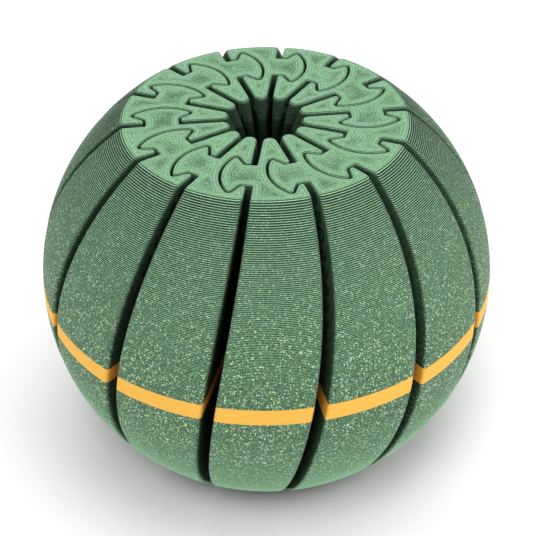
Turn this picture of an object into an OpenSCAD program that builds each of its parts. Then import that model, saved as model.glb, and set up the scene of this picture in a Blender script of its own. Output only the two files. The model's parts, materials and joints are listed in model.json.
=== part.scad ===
// Sliding-segment puzzle ball.
// Identical wedges stand in a closed ring. Each one hooks an anchor-shaped head into a socket
// in the next wedge, and every head and socket follows one helix round the ball's upright axis,
// so a wedge can only slide up or down with a slight turn. Millimetres, +Z up, standing on Z = 0.

/* [Ball] */
// Diameter of the ball
ball_d = 62; // [50:1:90]
// Height between the flat top and the flat bottom
ball_h = 49.6; // [42:0.2:52]
// Turn of the wedges from bottom to top, in degrees
helix_turn = 13.6; // [0:0.1:25]
// Azimuth of the first slot at mid-height, in degrees
first_slot = -78.3; // [-180:0.1:180]

/* [Segments] */
// Number of wedges in the ring
segments = 14; // [12:1:16]
// Width of the slot between the hole and the neck
inner_slot_w = 0.8; // [0.5:0.05:1]
// Angle of the slot between the neck and the outside, in degrees
outer_slot_angle = 2.9; // [2:0.1:4]
// Radius of the wedge's inner edge and of its socket's lips
lip_r = 0.4; // [0.2:0.05:0.5]

/* [Hooked joint] */
// Distance from the axis to the inner side of the neck
neck_in = 11.1; // [10.5:0.1:11.5]
// Distance from the axis to the outer side of the neck
neck_out = 15.4; // [14.5:0.1:15.8]
// Distance from the axis to the head's inner tip
head_in = 9.4; // [9:0.1:10]
// Distance from the axis to the head's outer tip
head_out = 17.1; // [16.5:0.1:17.4]
// Depth of the head's shoulders behind the middle of the slot
shoulder_depth = 1.25; // [1:0.05:1.6]
// Depth of the head's tips
tip_depth = 2.35; // [2:0.05:2.6]
// Depth of the head's crown
crown_depth = 3.75; // [3.2:0.05:3.9]
// Radius of the head's tips
tip_r = 0.6; // [0.3:0.05:0.7]
// Gap all round the head
head_gap = 0.3; // [0.2:0.05:0.35]

/* [Centre hole] */
// Radius that the flares narrow to, just inside the wedges' inner edges
hole_r = 3.1; // [2.5:0.1:4]
// Radius of the hole's mouths
mouth_r = 4.9; // [4:0.1:6]
// Depth of the flare at each mouth
mouth_depth = 4; // [2:0.1:8]

/* [Colour change] */
// Height of the first orange layer
band_z = 24.8; // [20:0.2:28]
// Height of the orange layers
band_h = 2.4; // [1:0.2:6]

/* [Hidden] */
ball_r = ball_d / 2;
pitch = 360 / segments;
helix_rate = helix_turn / ball_h;
blank_r = ball_r + 2;
head_mid = (head_in + head_out) / 2;
head_half = (head_out - head_in) / 2;
crown_rise = crown_depth - tip_depth;
crown_r = (pow(head_half, 2) + pow(crown_rise, 2)) / (2 * crown_rise);
crown_half_angle = asin(head_half / crown_r);
crown_steps = 4;
arc_fn = 12;
slice_turn = 2.4;
outline_segments = 84;
overrun = 1;
$fn = 96;

function two_digits(n) = n < 10 ? str("0", n) : str(n);
function node_name(k, stretch) = str("segment_", two_digits(k), "_", stretch);

// Outline of the crown: an arc from the head's outer tip to its inner tip.
function crown_arc() = [
    for (i = [0 : crown_steps])
        let (a = crown_half_angle * (1 - 2 * i / crown_steps))
        [head_mid + crown_r * sin(a), crown_r - crown_depth - crown_r * cos(a)]
];

// Neck and head, across the slot that lies along +X. The neck starts inside its own wedge.
module head_plan() {
    offset(r = tip_r, $fn = arc_fn)
        offset(delta = -tip_r)
            polygon(concat(
                [[neck_in, overrun], [neck_in, -shoulder_depth]],
                [for (i = [crown_steps : -1 : 0]) crown_arc()[i]],
                [[neck_out, -shoulder_depth], [neck_out, overrun]]
            ));
}

// One side of a wedge: the slot is parallel up to the neck and widens with the radius beyond it.
function flank(side) = [
    [0, side * inner_slot_w / 2],
    [neck_out, side * inner_slot_w / 2],
    [blank_r, side * blank_r * tan(outer_slot_angle / 2)]
];

function turned(points, a) = [
    for (p = points)
        [p[0] * cos(a) - p[1] * sin(a), p[0] * sin(a) + p[1] * cos(a)]
];

// The apex is where the two parallel stretches of the flanks cross.
function wedge_apex() =
    let (r = inner_slot_w / 2 / sin(pitch / 2))
    [r * cos(pitch / 2), r * sin(pitch / 2)];

module wedge_plan() {
    near = flank(1);
    far = turned(flank(-1), pitch);
    polygon([wedge_apex(), near[1], near[2], far[2], far[1]]);
}

// Whole wedge seen from above: its head reaches back across the first slot, and its socket
// holds the next wedge's head at the second.
module segment_plan() {
    head_plan();
    offset(r = lip_r, $fn = arc_fn)
        offset(delta = -lip_r)
            difference() {
                wedge_plan();
                rotate([0, 0, pitch])
                    offset(delta = head_gap)
                        head_plan();
            }
}

// A stretch of one wedge from z0 to z1, turning with the helix.
module segment_stretch(k, z0, z1) {
    turn = helix_rate * (z1 - z0);
    start = first_slot + (k - 1) * pitch + helix_rate * (z0 - ball_h / 2);
    translate([0, 0, z0])
        rotate([0, 0, start])
            linear_extrude(
                height = z1 - z0,
                twist = -turn,
                slices = ceil(turn / slice_turn),
                segments = outline_segments
            )
                segment_plan();
}

// The ball, with its flat top and bottom.
module ball_body() {
    intersection() {
        translate([0, 0, ball_h / 2])
            sphere(r = ball_r);
        translate([0, 0, -overrun])
            cylinder(r = ball_r + overrun, h = ball_h + 2 * overrun);
    }
}

// The hole down the middle, flared at both mouths.
module centre_hole() {
    rotate_extrude()
        polygon([
            [0, -overrun],
            [mouth_r, -overrun],
            [mouth_r, 0],
            [hole_r, mouth_depth],
            [hole_r, ball_h - mouth_depth],
            [mouth_r, ball_h],
            [mouth_r, ball_h + overrun],
            [0, ball_h + overrun]
        ]);
}

module segment_part(k, z0, z1) {
    difference() {
        intersection() {
            segment_stretch(k, z0, z1);
            ball_body();
        }
        centre_hole();
    }
}

module segment_lower(k) {
    color("darkseagreen") segment_part(k, 0, band_z);
}

module segment_band(k) {
    color("sandybrown") segment_part(k, band_z, band_z + band_h);
}

module segment_upper(k) {
    color("darkseagreen") segment_part(k, band_z + band_h, ball_h);
}

for (k = [1 : segments]) {
    segment_lower(k);
    segment_band(k);
    segment_upper(k);
}
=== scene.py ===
"""Builds the looks of a printed puzzle ball: hooked wedges in a closed ring, in fine layers."""

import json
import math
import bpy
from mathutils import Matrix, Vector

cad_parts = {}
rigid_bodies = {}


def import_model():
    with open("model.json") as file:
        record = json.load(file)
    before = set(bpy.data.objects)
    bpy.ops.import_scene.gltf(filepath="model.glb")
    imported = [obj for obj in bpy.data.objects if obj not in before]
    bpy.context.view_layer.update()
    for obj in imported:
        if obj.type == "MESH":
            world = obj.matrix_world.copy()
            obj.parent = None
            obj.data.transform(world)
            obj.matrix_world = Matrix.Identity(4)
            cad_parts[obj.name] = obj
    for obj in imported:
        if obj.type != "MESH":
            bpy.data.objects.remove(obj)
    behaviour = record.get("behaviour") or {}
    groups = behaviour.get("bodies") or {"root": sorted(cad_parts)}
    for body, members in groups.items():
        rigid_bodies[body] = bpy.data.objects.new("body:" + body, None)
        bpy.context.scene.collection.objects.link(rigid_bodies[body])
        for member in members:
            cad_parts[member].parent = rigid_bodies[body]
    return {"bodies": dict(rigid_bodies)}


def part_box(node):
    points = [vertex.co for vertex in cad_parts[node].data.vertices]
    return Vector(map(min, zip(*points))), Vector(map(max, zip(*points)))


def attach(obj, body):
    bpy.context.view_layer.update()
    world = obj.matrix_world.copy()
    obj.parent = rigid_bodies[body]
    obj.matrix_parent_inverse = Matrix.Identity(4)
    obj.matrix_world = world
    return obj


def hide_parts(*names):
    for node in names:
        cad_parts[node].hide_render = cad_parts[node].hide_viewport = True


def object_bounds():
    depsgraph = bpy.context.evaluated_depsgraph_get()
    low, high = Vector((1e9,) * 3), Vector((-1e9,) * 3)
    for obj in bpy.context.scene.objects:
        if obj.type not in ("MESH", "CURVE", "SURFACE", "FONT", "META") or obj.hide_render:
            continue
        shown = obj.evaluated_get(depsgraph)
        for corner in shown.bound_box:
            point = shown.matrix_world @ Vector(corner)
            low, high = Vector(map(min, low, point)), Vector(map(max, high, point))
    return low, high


bl_info = {
    "name": "Hooked Wedge Puzzle Ball",
    "version": (1, 0, 0),
    "blender": (4, 5, 0),
    "location": "View3D > Sidebar > Puzzle Ball",
    "description": "Printed wedges with their layer ribs, on a pale studio floor",
    "category": "Add Mesh",
}

import bpy
import numpy as np
from bpy.props import FloatProperty, FloatVectorProperty, IntProperty, PointerProperty
from bpy.types import Operator, Panel, PropertyGroup
from mathutils import Matrix, Vector
from mathutils.geometry import delaunay_2d_cdt

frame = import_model()
CAD_LOW, CAD_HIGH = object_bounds()

MM = 0.001
BODIES = sorted(frame["bodies"])
STRETCHES = ("lower", "band", "upper")
STRETCH_SLOTS = {"lower": "green_body", "band": "orange_layers", "upper": "green_body"}
BALL_HEIGHT = CAD_HIGH.z - CAD_LOW.z
BALL_DIAMETER = min(CAD_HIGH.x - CAD_LOW.x, CAD_HIGH.y - CAD_LOW.y)
BAND_LOW, BAND_HIGH = (corner.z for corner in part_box("segment_01_band"))


# Sizes and colours that a user may change


class BallSizes(PropertyGroup):
    """Sizes of the ball and its wedges."""

    diameter: FloatProperty(
        name="Diameter", description="Diameter of the ball",
        default=BALL_DIAMETER, unit="LENGTH",
    )
    helix_turn: FloatProperty(
        name="Helix turn", description="Turn of the wedges from bottom to top",
        default=math.radians(13.6), subtype="ANGLE",
    )
    first_slot: FloatProperty(
        name="First slot", description="Azimuth of the first slot at mid-height",
        default=math.radians(-78.3), subtype="ANGLE",
    )
    inner_slot: FloatProperty(
        name="Inner slot", description="Width of the slot between the hole and the neck",
        default=0.8 * MM, unit="LENGTH",
    )
    outer_slot_angle: FloatProperty(
        name="Outer slot", description="Angle of the slot between the neck and the outside",
        default=math.radians(2.9), subtype="ANGLE",
    )
    neck_in: FloatProperty(
        name="Neck inside", description="Distance from the axis to the neck's inner side",
        default=11.1 * MM, unit="LENGTH",
    )
    neck_out: FloatProperty(
        name="Neck outside", description="Distance from the axis to the neck's outer side",
        default=15.4 * MM, unit="LENGTH",
    )
    head_in: FloatProperty(
        name="Head inside", description="Distance from the axis to the head's inner tip",
        default=9.4 * MM, unit="LENGTH",
    )
    head_out: FloatProperty(
        name="Head outside", description="Distance from the axis to the head's outer tip",
        default=17.1 * MM, unit="LENGTH",
    )
    shoulder_depth: FloatProperty(
        name="Shoulder depth", description="Depth of the head's shoulders behind the slot",
        default=1.25 * MM, unit="LENGTH",
    )
    tip_depth: FloatProperty(
        name="Tip depth", description="Depth of the head's tips behind the slot",
        default=2.35 * MM, unit="LENGTH",
    )
    crown_depth: FloatProperty(
        name="Crown depth", description="Depth of the head's crown behind the slot",
        default=3.75 * MM, unit="LENGTH",
    )
    head_gap: FloatProperty(
        name="Head gap", description="Gap all round the head",
        default=0.3 * MM, unit="LENGTH",
    )
    hole_radius: FloatProperty(
        name="Hole radius", description="Distance from the axis to the wedges' inner edges",
        default=3.2 * MM, unit="LENGTH",
    )
    mouth_radius: FloatProperty(
        name="Mouth radius", description="Radius of the hole's mouths",
        default=4.9 * MM, unit="LENGTH",
    )
    mouth_depth: FloatProperty(
        name="Mouth depth", description="Depth of the flare at each mouth",
        default=4.2 * MM, unit="LENGTH",
    )


class PrintSettings(PropertyGroup):
    """How the layers were laid down."""

    layer: FloatProperty(
        name="Layer height", description="Height of one printed layer",
        default=0.2 * MM, unit="LENGTH",
    )
    bead_inset: FloatProperty(
        name="Bead inset", description="How far the groove between two layers is cut back",
        default=0.07 * MM, unit="LENGTH",
    )
    coarse_rise: FloatProperty(
        name="Hidden ring pitch", description="Height between the rings of hidden walls",
        default=2.0 * MM, unit="LENGTH",
    )
    line_width: FloatProperty(
        name="Line width", description="Width of one printed line on the flat faces",
        default=0.42 * MM, unit="LENGTH",
    )
    arc_columns: IntProperty(
        name="Outer columns", description="Columns of faces across a wedge's outer face",
        default=12, min=6, max=40,
    )


class FilamentColours(PropertyGroup):
    """Colours of the plastic."""

    green: FloatVectorProperty(
        name="Green", description="Body of the green plastic", subtype="COLOR",
        size=3, min=0.0, max=1.0, default=(0.033, 0.074, 0.035),
    )
    green_pale: FloatVectorProperty(
        name="Pale green", description="Milky flecks in the green plastic", subtype="COLOR",
        size=3, min=0.0, max=1.0, default=(0.212, 0.405, 0.216),
    )
    green_deep: FloatVectorProperty(
        name="Deep green", description="Dark flecks and printed lines of the green plastic",
        subtype="COLOR", size=3, min=0.0, max=1.0, default=(0.009, 0.032, 0.014),
    )
    # Painted highlight on the layers' crests and on the flats
    green_highlight: FloatVectorProperty(
        name="Green crest", description="Crests of the layers and edges of the flats",
        subtype="COLOR", size=3, min=0.0, max=1.0, default=(0.455, 0.840, 0.505),
    )
    # Painted shade colour, for the layer grooves and deep in the slots and the hole
    green_shade: FloatVectorProperty(
        name="Green groove", description="Shadowed green between layers and deep in the slots",
        subtype="COLOR", size=3, min=0.0, max=1.0, default=(0.004, 0.012, 0.006),
    )
    orange: FloatVectorProperty(
        name="Orange", description="Body of the orange plastic", subtype="COLOR",
        size=3, min=0.0, max=1.0, default=(0.950, 0.520, 0.056),
    )
    # Milky flecks, and also the painted highlight on the orange layers' crests
    orange_pale_and_highlight: FloatVectorProperty(
        name="Pale orange", description="Milky flecks in the orange plastic", subtype="COLOR",
        size=3, min=0.0, max=1.0, default=(0.950, 0.660, 0.200),
    )
    # Dark flecks, and also the painted shade in the orange grooves, slots and hole
    orange_deep_and_shade: FloatVectorProperty(
        name="Deep orange", description="Grooves of the orange plastic", subtype="COLOR",
        size=3, min=0.0, max=1.0, default=(0.500, 0.215, 0.030),
    )


# Plan of one wedge, in millimetres, with the slot before it along +X


def fillet(before, corner, after, radius, step=math.radians(18)):
    """Points of an arc of that radius that rounds a corner of a polyline."""
    a, b = before - corner, after - corner
    a, b = a / np.linalg.norm(a), b / np.linalg.norm(b)
    half = math.acos(float(np.clip(a @ b, -1, 1))) / 2
    if radius <= 0 or half > math.radians(88):
        return [corner]
    reach = radius / math.tan(half)
    reach = min(reach, *(0.48 * np.linalg.norm(p - corner) for p in (before, after)))
    radius = reach * math.tan(half)
    middle = corner + (a + b) / np.linalg.norm(a + b) * radius / math.sin(half)
    first, last = corner + a * reach - middle, corner + b * reach - middle
    turn = math.atan2(first[0] * last[1] - first[1] * last[0], float(first @ last))
    count = max(2, math.ceil(abs(turn) / step))
    angles = [turn * i / count for i in range(count + 1)]
    return [
        middle + (first[0] * math.cos(t) - first[1] * math.sin(t),
                  first[0] * math.sin(t) + first[1] * math.cos(t))
        for t in angles
    ]


def rounded(corners):
    """A polyline with its inner corners rounded. Each corner is (x, y, radius)."""
    points = [np.array(c[:2], float) for c in corners]
    out = [points[0]]
    for i in range(1, len(points) - 1):
        out += fillet(points[i - 1], points[i], points[i + 1], corners[i][2])
    return np.array(out + [points[-1]])


def moved_out(points, distance):
    """A polyline moved sideways, to its right, with mitred corners."""
    points = np.asarray(points, float)
    run = np.diff(points, axis=0)
    side = np.stack([run[:, 1], -run[:, 0]], 1) / np.linalg.norm(run, axis=1)[:, None]
    out = [points[0] + side[0] * distance]
    for i in range(1, len(points) - 1):
        both = side[i - 1] + side[i]
        out.append(points[i] + both * distance * 2 / (both @ both))
    return np.array(out + [points[-1] + side[-1] * distance])


def turned(points, angle):
    """Points turned about the axis."""
    c, s = math.cos(angle), math.sin(angle)
    return np.asarray(points) @ np.array([[c, s], [-s, c]])


class WedgePlan:
    """Outline of a wedge at any height, in millimetres."""

    # Rounding of the two outer edges, the head's tips, the socket's lips and the neck's roots
    CORNER_NEAR, CORNER_FAR = 0.4, 0.6
    TIP_R, LIP_OUT_R, LIP_IN_R, ROOT_R = 0.8, 0.7, 0.36, 0.25
    CORNER_STEPS, TIP_STEPS, CROWN_STEPS = 5, 9, 9
    # How far the joint's outline runs along the flanks, outwards and inwards from the neck
    FLANK_REACH, INNER_REACH = 1.6, 1.8
    # How far past the ball's surface the slot's angle is measured
    BLANK_MARGIN = 2.0

    def __init__(self, sizes, settings):
        self.radius = sizes.diameter / MM / 2
        self.height = BALL_HEIGHT / MM
        self.pitch = 2 * math.pi / len(BODIES)
        self.slot = sizes.inner_slot / MM / 2
        self.neck_in, self.neck_out = sizes.neck_in / MM, sizes.neck_out / MM
        blank = self.radius + self.BLANK_MARGIN
        widest = blank * math.tan(sizes.outer_slot_angle / 2)
        self.slope = (widest - self.slot) / (blank - self.neck_out)
        self.hole, self.mouth = sizes.hole_radius / MM, sizes.mouth_radius / MM
        self.flare = sizes.mouth_depth / MM
        self.arc_columns = settings.arc_columns
        head = self.head_corners(sizes)
        self.near = self.near_contour(head)
        self.far = self.far_contour(head, sizes.head_gap / MM)

    def head_corners(self, sizes):
        """The head's corners, from the neck's inner side round the crown to its outer side."""
        low, high = sizes.head_in / MM, sizes.head_out / MM
        shoulder, tip, crown = (
            d / MM for d in (sizes.shoulder_depth, sizes.tip_depth, sizes.crown_depth)
        )
        half, rise = (high - low) / 2, crown - tip
        arc_r = (half**2 + rise**2) / (2 * rise)
        reach = math.asin(half / arc_r)
        angles = np.linspace(-reach, reach, self.CROWN_STEPS)
        crown_points = [
            ((low + high) / 2 + arc_r * math.sin(t), arc_r - crown - arc_r * math.cos(t))
            for t in angles
        ]
        return [(self.neck_in, -shoulder), *crown_points, (self.neck_out, -shoulder)]

    def near_contour(self, head):
        """Along the flank before the wedge, round its own neck and head, and on outwards."""
        roots = [self.ROOT_R, self.TIP_R, *[0] * (len(head) - 4), self.TIP_R, self.ROOT_R]
        body = [(*p, r) for p, r in zip(head, roots)]
        end = self.neck_out + self.FLANK_REACH / 2
        return rounded([
            (self.neck_in - self.INNER_REACH, self.slot, 0),
            (self.neck_in, self.slot, self.ROOT_R),
            *body,
            (self.neck_out, self.slot, self.ROOT_R),
            (end, self.flank(end), 0),
        ])

    def far_contour(self, head, gap):
        """Inwards along the flank after the wedge, round the socket, and on to the hole."""
        path = moved_out([(self.neck_in, 1.0), *head, (self.neck_out, 1.0)], gap)[1:-1]
        tip = self.TIP_R + gap
        radii = [self.LIP_IN_R, tip, *[0] * (len(head) - 4), tip, self.LIP_OUT_R]
        body = [(*p, r) for p, r in zip(path, radii)]
        start = self.neck_out + gap + self.FLANK_REACH
        outline = rounded([
            (self.neck_in - gap - self.INNER_REACH, -self.slot, 0),
            (self.neck_in - gap, -self.slot, self.LIP_IN_R),
            *body,
            (self.neck_out + gap, -self.flank(self.neck_out + gap), self.LIP_OUT_R),
            (start, -self.flank(start), 0),
        ])
        return turned(outline[::-1], self.pitch)

    def flank(self, x):
        """Half the slot's width, x from the axis."""
        return self.slot + max(0.0, x - self.neck_out) * self.slope

    def outer_radius(self, z):
        """The ball's radius at a height."""
        return math.sqrt(max(self.radius**2 - (z - self.height / 2) ** 2, 0.0))

    def slant(self, z):
        """How much the surface leans at a height, from 0.25 at the equator to 1 at the flats."""
        lean = abs(2 * z / self.height - 1)
        return 0.25 + 0.75 * lean**1.5

    def inner_radius(self, z):
        """Distance from the axis to the wedge's inner edge at a height."""
        depth = min(z, self.height - z)
        return self.hole + (self.mouth - self.hole) * max(0.0, 1 - depth / self.flare) ** 1.25

    def outer_corner(self, r):
        """Where the flank before the wedge meets the ball's surface."""
        x = r
        for _ in range(4):
            x = math.sqrt(r * r - self.flank(x) ** 2)
        return np.array([x, self.flank(x)])

    def corner_curve(self, r, size, side):
        """The rounded corner between a flank and the surface, from the flank to the surface."""
        corner = self.outer_corner(r)
        back = corner[0] - size
        start = np.array([back, self.flank(back)])
        angle = math.atan2(corner[1], corner[0]) + size / r
        end = r * np.array([math.cos(angle), math.sin(angle)])
        t = np.linspace(0, 1, self.CORNER_STEPS)[:, None]
        curve = (1 - t) ** 2 * start + 2 * t * (1 - t) * corner + t**2 * end
        return curve * (1, side)

    def outer_columns(self, z):
        """From the flank before the wedge, over the outer face, to the flank after it."""
        r = self.outer_radius(z)
        near = self.corner_curve(r, self.CORNER_NEAR, 1)
        far = turned(self.corner_curve(r, self.CORNER_FAR, -1), self.pitch)[::-1]
        first, last = (math.atan2(p[1], p[0]) for p in (near[-1], far[0]))
        angles = np.linspace(first, last, self.arc_columns + 1)[1:-1]
        arc = r * np.stack([np.cos(angles), np.sin(angles)], 1)
        inside = min(self.FLANK_REACH, (r - self.near[-1][0]) * 0.5)
        back = r - inside
        flank_near = np.array([[back, self.flank(back)]])
        flank_far = turned(flank_near * (1, -1), self.pitch)
        return np.concatenate([flank_near, near, arc, far, flank_far])

    def tip_columns(self, z):
        """Round the wedge's inner edge, from the flank after it to the flank before it."""
        half = self.pitch / 2
        r = self.inner_radius(z)
        edge_r = (r * math.sin(half) - self.slot) / (1 - math.sin(half))
        middle = (r + edge_r) * np.array([math.cos(half), math.sin(half)])
        first, last = self.pitch + math.pi / 2, 3 * math.pi / 2
        angles = np.linspace(first, last, self.TIP_STEPS)
        return middle + edge_r * np.stack([np.cos(angles), np.sin(angles)], 1)


# Mesh of one stretch of a wedge


def outline_normals(ring):
    """Unit normals of a closed outline, pointing out of the wedge."""
    run = np.roll(ring, -1, 0) - np.roll(ring, 1, 0)
    out = np.stack([run[:, 1], -run[:, 0]], 1)
    return out / np.linalg.norm(out, axis=1)[:, None]


class StretchMesh:
    """Vertices and faces of one stretch, ring by ring, before it is turned into place."""

    # (height from the flat, inset) of the rings that round over a flat's rim
    END_ROUND = ((0.0, 0.10), (0.03, 0.04), (0.08, 0.0))
    # An extra ring this deep keeps the shading of plain walls crisp at the rim
    LIP_DEPTH = 0.35
    # (share of the layer's height, share of the groove's depth) across one bead
    BEAD = ((0.12, 1.0), (0.36, 0.0), (0.64, 0.0), (0.88, 1.0))
    # How nearly each layer is a straight step, 0 to 1
    STEP_SHARE = 0.75
    # Depth of the ribs down the hole
    RIBBED_DEPTH = 11.0
    # Distance between the inner points of the flats
    CAP_SPACING = 0.3

    def __init__(self, plan, settings, low, high):
        self.plan, self.low, self.high = plan, low, high
        self.layer = settings.layer / MM
        self.bead = settings.bead_inset / MM
        self.coarse = settings.coarse_rise / MM
        self.verts, self.faces, self.count = [], [], 0
        self.ends = [z for z in (low, high) if z in (0.0, plan.height)]

    def ring(self, surface_z, inset):
        """The four runs of an outline shaped as at surface_z and drawn in by inset."""
        plan = self.plan
        parts = [plan.tip_columns(surface_z), plan.near, plan.outer_columns(surface_z), plan.far]
        outline = np.concatenate(parts)
        outline = outline - outline_normals(outline) * inset
        return np.split(outline, np.cumsum([len(p) for p in parts])[:-1])

    def fine_levels(self):
        """(height, height whose surface it takes, bead inset) for ribbed walls."""
        levels = []
        for i in range(round(self.low / self.layer), round(self.high / self.layer)):
            middle = (i + 0.5) * self.layer
            depth = self.bead * self.plan.slant(middle)
            for share, inset in self.BEAD:
                z = (i + share) * self.layer
                levels.append((z, z + (middle - z) * self.STEP_SHARE, inset * depth))
        return levels

    def plain_levels(self):
        """The same for walls without ribs."""
        count = max(1, math.ceil((self.high - self.low) / self.coarse))
        heights = list(np.linspace(self.low, self.high, count + 1))
        heights += [abs(end - self.LIP_DEPTH) for end in self.ends]
        return [(z, z, 0.0) for z in sorted(heights)]

    def with_ends(self, levels):
        """Adds the stretch's end rings, rounded over where they are the ball's flats."""
        out = []
        for end, way in ((self.low, 1), (self.high, -1)):
            rims = self.END_ROUND if end in self.ends else ((0.0, 0.0),)
            out += [(end + way * up, end + way * up, inset) for up, inset in rims]
            clear = rims[-1][0] + 1e-6
            levels = [v for v in levels if abs(v[0] - end) > clear]
        return sorted(out + levels)

    def tip_levels(self):
        """Ribs near the hole's mouths and plain rings deeper down."""
        def ribbed(level):
            return min(level[0], self.plan.height - level[0]) < self.RIBBED_DEPTH

        fine = [v for v in self.fine_levels() if ribbed(v)]
        plain = [v for v in self.plain_levels() if not ribbed(v)]
        return self.with_ends(sorted(fine + plain))

    def columns(self, levels, part):
        """A grid of vertices and faces for one run of the outline, a row for each level."""
        grid = []
        for z, surface_z, inset in levels:
            run = self.ring(surface_z, inset)[part]
            grid.append(np.column_stack([run, np.full(len(run), z)]))
        grid = np.array(grid)
        first = self.count
        self.verts.append(grid.reshape(-1, 3))
        self.count += grid.shape[0] * grid.shape[1]
        ids = np.arange(first, self.count).reshape(grid.shape[:2])
        for r in range(len(ids) - 1):
            low, high = ids[r], ids[r + 1]
            self.faces += [
                (low[c], low[c + 1], high[c + 1], high[c]) for c in range(len(low) - 1)
            ]
        return ids, [v[0] for v in levels]

    def stitch(self, left, left_z, right, right_z):
        """Joins two columns of vertices with different heights, left to right seen from outside."""
        i = j = 0
        while i < len(left) - 1 or j < len(right) - 1:
            up_left = left_z[i + 1] if i < len(left) - 1 else math.inf
            up_right = right_z[j + 1] if j < len(right) - 1 else math.inf
            if up_left <= up_right:
                self.faces.append((left[i], right[j], left[i + 1]))
                i += 1
            else:
                self.faces.append((left[i], right[j], right[j + 1]))
                j += 1

    def build(self):
        """All walls. Returns the vertex ids of the lowest and highest outlines."""
        plain = self.with_ends(self.plain_levels())
        levels = [self.tip_levels(), plain, self.with_ends(self.fine_levels()), plain]
        runs = [self.columns(v, part) for part, v in enumerate(levels)]
        for (left, left_z), (right, right_z) in zip(runs, runs[1:] + runs[:1]):
            self.stitch(left[:, -1], left_z, right[:, 0], right_z)
        bottom = np.concatenate([ids[0] for ids, _ in runs])
        top = np.concatenate([ids[-1] for ids, _ in runs])
        return bottom, top

    def cap(self, loop, facing):
        """Closes an end. The flats get inner points, so that printed lines can follow the rim."""
        verts = np.concatenate(self.verts)
        rim, z = verts[loop][:, :2], verts[loop[0], 2]
        inner = inner_points(rim, self.CAP_SPACING) if z in self.ends else np.zeros((0, 2))
        points = [Vector(p) for p in np.concatenate([rim, inner])]
        edges = [(i, (i + 1) % len(rim)) for i in range(len(rim))]
        made, _, faces, origins, _, _ = delaunay_2d_cdt(points, edges, [], 1, 1e-7)
        ids, fresh = [], []
        for point, origin in zip(made, origins):
            if origin and origin[0] < len(rim):
                ids.append(loop[origin[0]])
            else:
                ids.append(self.count + len(fresh))
                fresh.append((point.x, point.y, z))
        self.verts.append(np.array(fresh).reshape(-1, 3))
        self.count += len(fresh)
        for face in faces:
            corners = [ids[i] for i in face]
            self.faces.append(tuple(corners if facing > 0 else corners[::-1]))


def inner_points(rim, spacing):
    """A grid of points inside an outline, clear of its edge."""
    low, high = rim.min(0), rim.max(0)
    rows = np.arange(low[1], high[1], spacing * math.sqrt(3) / 2)
    points = np.array([
        (x + (i % 2) * spacing / 2, y)
        for i, y in enumerate(rows)
        for x in np.arange(low[0], high[0], spacing)
    ])
    keep = inside(points, rim) & (rim_distance(points, rim) > spacing * 0.45)
    return points[keep]


def inside(points, rim):
    """Which points lie inside a closed outline."""
    a, b = rim, np.roll(rim, -1, 0)
    x, y = points[:, :1], points[:, 1:]
    crosses = (a[:, 1] > y) != (b[:, 1] > y)
    with np.errstate(divide="ignore", invalid="ignore"):
        at = a[:, 0] + (y - a[:, 1]) / (b[:, 1] - a[:, 1]) * (b[:, 0] - a[:, 0])
    return (crosses & (x < at)).sum(1) % 2 == 1


def rim_distance(points, rim):
    """Distance from each point to a closed outline."""
    a, run = rim, np.roll(rim, -1, 0) - rim
    to = points[:, None] - a
    share = np.clip((to * run).sum(2) / (run * run).sum(1), 0, 1)
    return np.linalg.norm(to - share[..., None] * run, axis=2).min(1)


def stretch_arrays(plan, settings, low, high):
    """(vertices, faces, rim distance, share of painted shade in slots and hole) of a stretch,
    untwisted, in millimetres.
    """
    mesh = StretchMesh(plan, settings, low, high)
    bottom, top = mesh.build()
    mesh.cap(bottom, -1)
    mesh.cap(top, 1)
    verts = np.concatenate(mesh.verts)
    distance = np.zeros(len(verts))
    for loop, z in ((bottom, low), (top, high)):
        if z in mesh.ends:
            flat = np.abs(verts[:, 2] - z) < 1e-9
            distance[flat] = rim_distance(verts[flat][:, :2], verts[loop][:, :2])
    return verts, mesh.faces, distance, hollow_shade(plan, verts)


# Painted shade on a slot's walls and the depth it is reached at, and the depth and fade of the
# painted shade down the hole
SLOT_SHADE, SLOT_SHADE_DEPTH = 0.88, 0.45
HOLE_SHADE_DEPTH, HOLE_SHADE_FADE = 2.8, 2.0


def hollow_shade(plan, verts):
    """Painted shade for how closed-in each vertex is, 0 on the ball's surface to 1 deep in the
    hole.
    """
    r = np.hypot(verts[:, 0], verts[:, 1])
    surface = np.array([plan.outer_radius(z) for z in verts[:, 2]])
    from_end = np.minimum(verts[:, 2], plan.height - verts[:, 2])
    depth = np.minimum(surface - r, from_end)
    # Painted shade: slot walls darken within a short depth of the surface, the hole's walls further
    # down
    slot = SLOT_SHADE * np.clip(depth / SLOT_SHADE_DEPTH, 0, 1)
    hole_shade = np.clip(depth / HOLE_SHADE_DEPTH, 0, 1) * np.clip((plan.neck_in - r) / HOLE_SHADE_FADE, 0, 1)
    return np.maximum(slot, hole_shade)


def twisted(verts, rate, middle, azimuth):
    """Vertices turned with the helix and into a wedge's place."""
    angles = azimuth + rate * (verts[:, 2] - middle)
    c, s = np.cos(angles), np.sin(angles)
    x, y = verts[:, 0], verts[:, 1]
    return np.column_stack([x * c - y * s, x * s + y * c, verts[:, 2]])


def stretch_object(name, verts, faces, distance, hollow_shade_amount, material):
    """One piece, with its rim distance and its share of painted shade kept for the material."""
    mesh = bpy.data.meshes.new(name)
    mesh.from_pydata((verts * MM).tolist(), [], faces)
    for key, values in (("rim_distance", distance), ("hollow_shade", hollow_shade_amount)):
        mesh.attributes.new(key, "FLOAT", "POINT").data.foreach_set("value", values)
    mesh.materials.append(material)
    mesh.shade_smooth()
    piece = bpy.data.objects.new(name, mesh)
    bpy.context.scene.collection.objects.link(piece)
    return piece


# Materials


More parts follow.
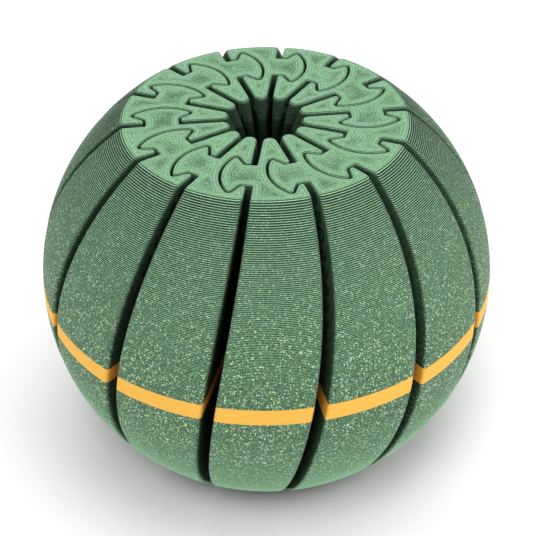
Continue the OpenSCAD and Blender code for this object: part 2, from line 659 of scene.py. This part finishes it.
class NodeTree:
    """Short calls for building a material's nodes."""

    def __init__(self, name):
        self.material = bpy.data.materials.get(name) or bpy.data.materials.new(name)
        self.material.use_nodes = True
        self.tree = self.material.node_tree
        self.tree.nodes.clear()

    def add(self, kind, inputs=None, **settings):
        """A node with its inputs linked or set."""
        node = self.tree.nodes.new(kind)
        for key, value in settings.items():
            setattr(node, key, value)
        for key, value in (inputs or {}).items():
            socket = node.inputs[key]
            if isinstance(value, bpy.types.NodeSocket):
                self.tree.links.new(value, socket)
            else:
                socket.default_value = value
        return node

    def math(self, operation, *values):
        """One step of arithmetic."""
        return self.add("ShaderNodeMath", dict(enumerate(values)), operation=operation).outputs[0]

    def mix(self, share, first, second):
        """Blends the second colour over the first."""
        node = self.add("ShaderNodeMix", {0: share, 6: first, 7: second}, data_type="RGBA")
        return node.outputs[2]

    def noise(self, where, scale, detail=2.0, rough=0.5):
        """Soft noise from 0 to 1."""
        return self.add("ShaderNodeTexNoise", {
            "Vector": where, "Scale": scale, "Detail": detail, "Roughness": rough,
        }).outputs["Fac"]

    def ramp(self, value, low, high):
        """0 at low to 1 at high."""
        inputs = {"Value": value, "From Min": low, "From Max": high}
        return self.add("ShaderNodeMapRange", inputs).outputs[0]

    def attribute(self, name):
        """A value kept on the mesh."""
        return self.add("ShaderNodeAttribute", attribute_name=name).outputs["Fac"]


def opaque(colour):
    """A colour with full alpha."""
    return (*colour, 1.0)


# How fine the patterns in the plastic are, in cells to a metre
SPECKLE_SCALE, GRAIN_SCALE, CLOUD_SCALE, GLINT_SCALE = 7600.0, 3400.0, 300.0, 6500.0
# Colours of the painted glints
GLINT_WARM, GLINT_COOL = (0.80, 0.90, 0.35, 1.0), (0.60, 0.90, 0.85, 1.0)
# Shares of the lines printed on the flats and of the painted shade inside slots and hole
LINE_SHARE, HOLLOW_SHADE_SHARE = 0.38, 0.96

# Shares of the flecks, the painted highlight on crests, the painted shade in grooves and the
# painted glints, and how much of the painted layer lines is left where the wall is upright
GREEN_LOOK = {"fleck": 1.0, "painted_highlight": 0.95, "painted_shade": 0.98, "glint": 0.9, "upright": 0.2}
ORANGE_LOOK = {"fleck": 0.2, "painted_highlight": 0.5, "painted_shade": 0.6, "glint": 0.05, "upright": 0.7}


def fleck_colour(nodes, mottle, flat, shades, share):
    """Pale and dark flecks on the body colour, a little weaker on the flats."""
    strength = nodes.math("MULTIPLY", nodes.math("MULTIPLY_ADD", flat, -0.2, 1.0), share)
    light = nodes.math("MULTIPLY", nodes.ramp(mottle, 0.52, 0.60), strength)
    dark = nodes.math("MULTIPLY", nodes.ramp(mottle, 0.53, 0.42), strength)
    colour = nodes.mix(light, shades["body"], shades["pale"])
    return nodes.mix(dark, colour, shades["deep"])


def painted_glint_colour(nodes, colour, where, sides, share):
    """Tiny warm and cool glints on the sides, painted into the colour."""
    cells = nodes.add("ShaderNodeTexVoronoi", {"Vector": where, "Scale": GLINT_SCALE})
    pick = nodes.add("ShaderNodeSeparateColor", {0: cells.outputs["Color"]})
    few = nodes.ramp(pick.outputs[0], 0.90, 0.95)
    lit = nodes.math("MULTIPLY", few, nodes.math("MULTIPLY", sides, share))
    return nodes.mix(lit, colour, nodes.mix(pick.outputs[1], GLINT_WARM, GLINT_COOL))


def layer_highlight_and_shade(nodes, colour, height, sides, layer, shades, look):
    """Painted highlight on the layers' crests and painted shade in their grooves, strongest where
    the wall leans most.
    """
    turns = nodes.math("MULTIPLY", height, 2 * math.pi / layer)
    phase = nodes.math("MULTIPLY_ADD", nodes.math("COSINE", turns), 0.5, 0.5)
    middle = BALL_HEIGHT / 2
    from_middle = nodes.math("ABSOLUTE", nodes.math("SUBTRACT", height, middle))
    lean = nodes.ramp(from_middle, 0.1 * middle, middle)
    upright = look["upright"]
    ribs = nodes.math("MULTIPLY", nodes.math("MULTIPLY_ADD", lean, 1 - upright, upright), sides)
    # Painted shade in the grooves and painted highlight on the crests
    painted_shade = nodes.math("MULTIPLY", nodes.math("POWER", phase, 0.55), ribs)
    bead = nodes.math("SUBTRACT", 1.0, phase)
    painted_highlight = nodes.math("MULTIPLY", nodes.math("POWER", bead, 2.0), ribs)
    colour = nodes.mix(nodes.math("MULTIPLY", painted_highlight, look["painted_highlight"]), colour, shades["painted_highlight"])
    return nodes.mix(nodes.math("MULTIPLY", painted_shade, look["painted_shade"]), colour, shades["painted_shade"])


def flat_colour(nodes, colour, cloud, flat, line_width, shades):
    """Printed lines that follow a flat's rim, round a duller fill, on a flat lightened towards the
    highlight colour: partly painted top light, partly the paler tone of the lines at the rim. Also
    returns the lines.
    """
    wobble = nodes.math("MULTIPLY_ADD", cloud, 0.35, nodes.attribute("rim_distance"))
    turns = nodes.math("MULTIPLY", wobble, 2 * math.pi * MM / line_width)
    wave = nodes.math("MULTIPLY_ADD", nodes.math("COSINE", turns), 0.5, 0.5)
    lines = nodes.math("MULTIPLY", wave, flat)
    patches = nodes.ramp(cloud, 0.35, 0.60)
    fill = nodes.math("MULTIPLY", nodes.ramp(wobble, 0.75, 1.35), patches)
    # Painted top light on the flats, stronger at the rim lines than in the duller fill
    top_light_and_rim_tone = nodes.math("MULTIPLY", nodes.math("MULTIPLY_ADD", fill, -0.20, 0.29), flat)
    colour = nodes.mix(top_light_and_rim_tone, colour, shades["painted_highlight"])
    colour = nodes.mix(nodes.math("MULTIPLY", lines, LINE_SHARE), colour, shades["deep"])
    return colour, lines


def filament_material(name, settings, shades, look):
    """Printed plastic: flecks, painted glints, layer lines with painted highlight and shade,
    printed lines on flats, and painted shade in the slots and the hole.
    """
    shades = {key: opaque(shade) for key, shade in shades.items()}
    nodes = NodeTree(name)
    where = nodes.add("ShaderNodeTexCoord").outputs["Object"]
    height = nodes.add("ShaderNodeSeparateXYZ", {0: where}).outputs["Z"]
    normal = nodes.add("ShaderNodeNewGeometry").outputs["True Normal"]
    up = nodes.add("ShaderNodeSeparateXYZ", {0: normal}).outputs["Z"]
    flat = nodes.ramp(nodes.math("ABSOLUTE", up), 0.985, 0.999)
    sides = nodes.math("SUBTRACT", 1.0, flat)

    speckle = nodes.noise(where, SPECKLE_SCALE, 1.0, 0.7)
    grain = nodes.noise(where, GRAIN_SCALE, 1.0, 0.6)
    cloud = nodes.noise(where, CLOUD_SCALE, 3.0, 0.55)
    mottle = nodes.math("MULTIPLY_ADD", grain, 0.25, nodes.math("MULTIPLY", speckle, 0.75))
    colour = fleck_colour(nodes, mottle, flat, shades, look["fleck"])
    colour = painted_glint_colour(nodes, colour, where, sides, look["glint"])
    colour = layer_highlight_and_shade(nodes, colour, height, sides, settings.layer, shades, look)
    colour, lines = flat_colour(nodes, colour, cloud, flat, settings.line_width, shades)
    hollow_shade_amount = nodes.attribute("hollow_shade")
    # Painted shade: walls in the slots and down the hole are darkened towards the shade colour
    hollow_shade_mix = nodes.math("MULTIPLY", hollow_shade_amount, HOLLOW_SHADE_SHARE)
    colour = nodes.mix(hollow_shade_mix, colour, shades["painted_shade"])

    relief = nodes.math("MULTIPLY_ADD", lines, -0.6, mottle)
    bump = nodes.add("ShaderNodeBump", {"Strength": 0.6, "Distance": 0.00008, "Height": relief})
    shader = nodes.add("ShaderNodeBsdfPrincipled", {
        "Base Color": colour, "Normal": bump.outputs[0], "IOR": 1.46,
        "Roughness": nodes.math("MULTIPLY_ADD", speckle, 0.3, 0.35),
        # Less specular where the painted shade is
        "Specular IOR Level": nodes.math("MULTIPLY_ADD", hollow_shade_amount, -0.16, 0.18),
    })
    nodes.add("ShaderNodeOutputMaterial", {"Surface": shader.outputs[0]})
    return nodes.material


def green_filament(colours, settings):
    """The green plastic."""
    shades = {
        "body": colours.green, "pale": colours.green_pale, "deep": colours.green_deep,
        "painted_shade": colours.green_shade, "painted_highlight": colours.green_highlight,
    }
    return filament_material("Green_filament", settings, shades, GREEN_LOOK)


def orange_filament(colours, settings):
    """The orange plastic."""
    shades = {
        "body": colours.orange, "pale": colours.orange_pale_and_highlight, "deep": colours.orange_deep_and_shade,
        # The deep and pale orange also give the painted shade and the painted highlight
        "painted_shade": colours.orange_deep_and_shade, "painted_highlight": colours.orange_pale_and_highlight,
    }
    return filament_material("Orange_filament", settings, shades, ORANGE_LOOK)


def floor_paper():
    """Pale matt paper."""
    nodes = NodeTree("Floor_paper")
    where = nodes.add("ShaderNodeTexCoord").outputs["Object"]
    tooth = nodes.noise(where, 900.0, 2.0)
    bump = nodes.add("ShaderNodeBump", {"Strength": 0.05, "Distance": 0.0001, "Height": tooth})
    shader = nodes.add("ShaderNodeBsdfPrincipled", {
        "Base Color": (0.68, 0.68, 0.68, 1.0), "Roughness": 0.9, "Normal": bump.outputs[0],
        "Specular IOR Level": 0.1,
    })
    nodes.add("ShaderNodeOutputMaterial", {"Surface": shader.outputs[0]})
    return nodes.material


# Operators


class PUZZLE_OT_wedges(Operator):
    """Build every wedge of the ring, each in its three fused stretches"""

    bl_idname = "puzzle.wedges"
    bl_label = "Build the wedges"

    def execute(self, context):
        scene = context.scene
        sizes, settings, colours = scene.ball_sizes, scene.print_settings, scene.filament_colours
        plan = WedgePlan(sizes, settings)
        green, orange = green_filament(colours, settings), orange_filament(colours, settings)
        finish = {"green_body": green, "orange_layers": orange}
        layers = [round(z / settings.layer) * settings.layer / MM for z in (0, BAND_LOW, BAND_HIGH)]
        bounds = [round(z, 6) for z in layers] + [plan.height]
        rate = sizes.helix_turn / plan.height
        for stretch, low, high in zip(STRETCHES, bounds, bounds[1:]):
            verts, faces, distance, hollow_shade_amount = stretch_arrays(plan, settings, low, high)
            slot = STRETCH_SLOTS[stretch]
            for i, body in enumerate(BODIES):
                azimuth = sizes.first_slot + i * plan.pitch
                placed = twisted(verts, rate, plan.height / 2, azimuth)
                name = f"{body}_{stretch}_print"
                piece = stretch_object(name, placed, faces, distance, hollow_shade_amount, finish[slot])
                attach(piece, body)
                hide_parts(f"{body}_{stretch}")
        return {"FINISHED"}


def aim(thing, target):
    """Points a lamp or a camera at a place."""
    thing.rotation_mode = "QUATERNION"
    thing.rotation_quaternion = (Vector(target) - thing.location).to_track_quat("-Z", "Y")


class PUZZLE_OT_stage(Operator):
    """Build the floor, the soft lights and the camera"""

    bl_idname = "puzzle.stage"
    bl_label = "Build the stage"

    CAMERA_DISTANCE, CAMERA_ELEVATION, CAMERA_ROLL = 5.96, math.radians(38.36), math.radians(-0.55)
    FOCAL, FRAME_WIDTH, SENSOR_WIDTH = 1313.0, 533.0, 36.0
    FLOOR_SPAN, FLOOR_DROP = 40, 0.00002
    AIR_STRENGTH = 0.60
    # Name, kind, place, angle or size of the source, and strength
    LAMPS = (
        ("Key", "SUN", (-0.14, -0.32, 0.62), math.radians(28), 1.35),
        ("Fill", "AREA", (0.40, -0.24, 0.48), 0.40, 1.3),
        ("Top", "SUN", (0.05, 0.10, 0.68), math.radians(45), 1.75),
        ("Rim_left", "AREA", (-0.50, 0.10, 0.30), 0.35, 0.4),
        ("Rim_right", "AREA", (0.50, 0.10, 0.32), 0.35, 0.5),
    )

    def execute(self, context):
        scene = context.scene
        middle = (CAD_LOW + CAD_HIGH) / 2
        self.floor(scene)
        self.lights(scene, middle)
        self.camera(scene, middle)
        scene.view_settings.view_transform = "Standard"
        return {"FINISHED"}

    def floor(self, scene):
        """A wide sheet just under the ball."""
        size = BALL_DIAMETER * self.FLOOR_SPAN
        mesh = bpy.data.meshes.new("Floor")
        corners = [(x * size, y * size, 0.0) for x, y in ((-1, -1), (1, -1), (1, 1), (-1, 1))]
        mesh.from_pydata(corners, [], [(0, 1, 2, 3)])
        mesh.materials.append(floor_paper())
        floor = bpy.data.objects.new("Floor", mesh)
        floor.location.z = CAD_LOW.z - self.FLOOR_DROP
        scene.collection.objects.link(floor)

    def lights(self, scene, middle):
        """White air and soft lamps that point at the ball."""
        world = bpy.data.worlds.new("Studio_air")
        world.use_nodes = True
        air = world.node_tree.nodes["Background"]
        air.inputs["Color"].default_value = (1.0, 1.0, 1.0, 1.0)
        air.inputs["Strength"].default_value = self.AIR_STRENGTH
        scene.world = world
        for name, kind, place, spread, power in self.LAMPS:
            lamp = bpy.data.lights.new(name, kind)
            lamp.energy = power
            if kind == "SUN":
                lamp.angle = spread
            else:
                lamp.shape, lamp.size = "DISK", spread
            thing = bpy.data.objects.new(name, lamp)
            thing.location = Vector(place)
            scene.collection.objects.link(thing)
            aim(thing, middle)

    def camera(self, scene, middle):
        """A camera that looks down at the ball's middle."""
        data = bpy.data.cameras.new("Camera")
        data.sensor_fit = "HORIZONTAL"
        data.sensor_width = self.SENSOR_WIDTH
        data.lens = self.FOCAL / self.FRAME_WIDTH * data.sensor_width
        camera = bpy.data.objects.new("Camera", data)
        away = self.CAMERA_DISTANCE * BALL_DIAMETER / 2
        camera.location = middle + away * Vector(
            (0.0, -math.cos(self.CAMERA_ELEVATION), math.sin(self.CAMERA_ELEVATION))
        )
        scene.collection.objects.link(camera)
        aim(camera, middle)
        camera.rotation_quaternion = camera.rotation_quaternion @ Matrix.Rotation(
            self.CAMERA_ROLL, 3, "Z"
        ).to_quaternion()
        data.clip_start, data.clip_end = 0.01, 10.0
        scene.camera = camera


class PUZZLE_PT_panel(Panel):
    """Sizes, colours and build buttons"""

    bl_idname = "PUZZLE_PT_panel"
    bl_label = "Puzzle ball"
    bl_space_type = "VIEW_3D"
    bl_region_type = "UI"
    bl_category = "Puzzle Ball"

    def draw(self, context):
        for group in (
            context.scene.ball_sizes,
            context.scene.print_settings,
            context.scene.filament_colours,
        ):
            column = self.layout.column()
            for key in group.__annotations__:
                column.prop(group, key)
        self.layout.operator(PUZZLE_OT_wedges.bl_idname)
        self.layout.operator(PUZZLE_OT_stage.bl_idname)


CLASSES = (
    BallSizes, PrintSettings, FilamentColours, PUZZLE_OT_wedges, PUZZLE_OT_stage, PUZZLE_PT_panel,
)


def register():
    for cls in CLASSES:
        bpy.utils.register_class(cls)
    bpy.types.Scene.ball_sizes = PointerProperty(type=BallSizes)
    bpy.types.Scene.print_settings = PointerProperty(type=PrintSettings)
    bpy.types.Scene.filament_colours = PointerProperty(type=FilamentColours)


def unregister():
    for key in ("ball_sizes", "print_settings", "filament_colours"):
        delattr(bpy.types.Scene, key)
    for cls in reversed(CLASSES):
        bpy.utils.unregister_class(cls)


def main():
    register()
    bpy.ops.puzzle.wedges()
    bpy.ops.puzzle.stage()


if __name__ == "__main__":
    main()
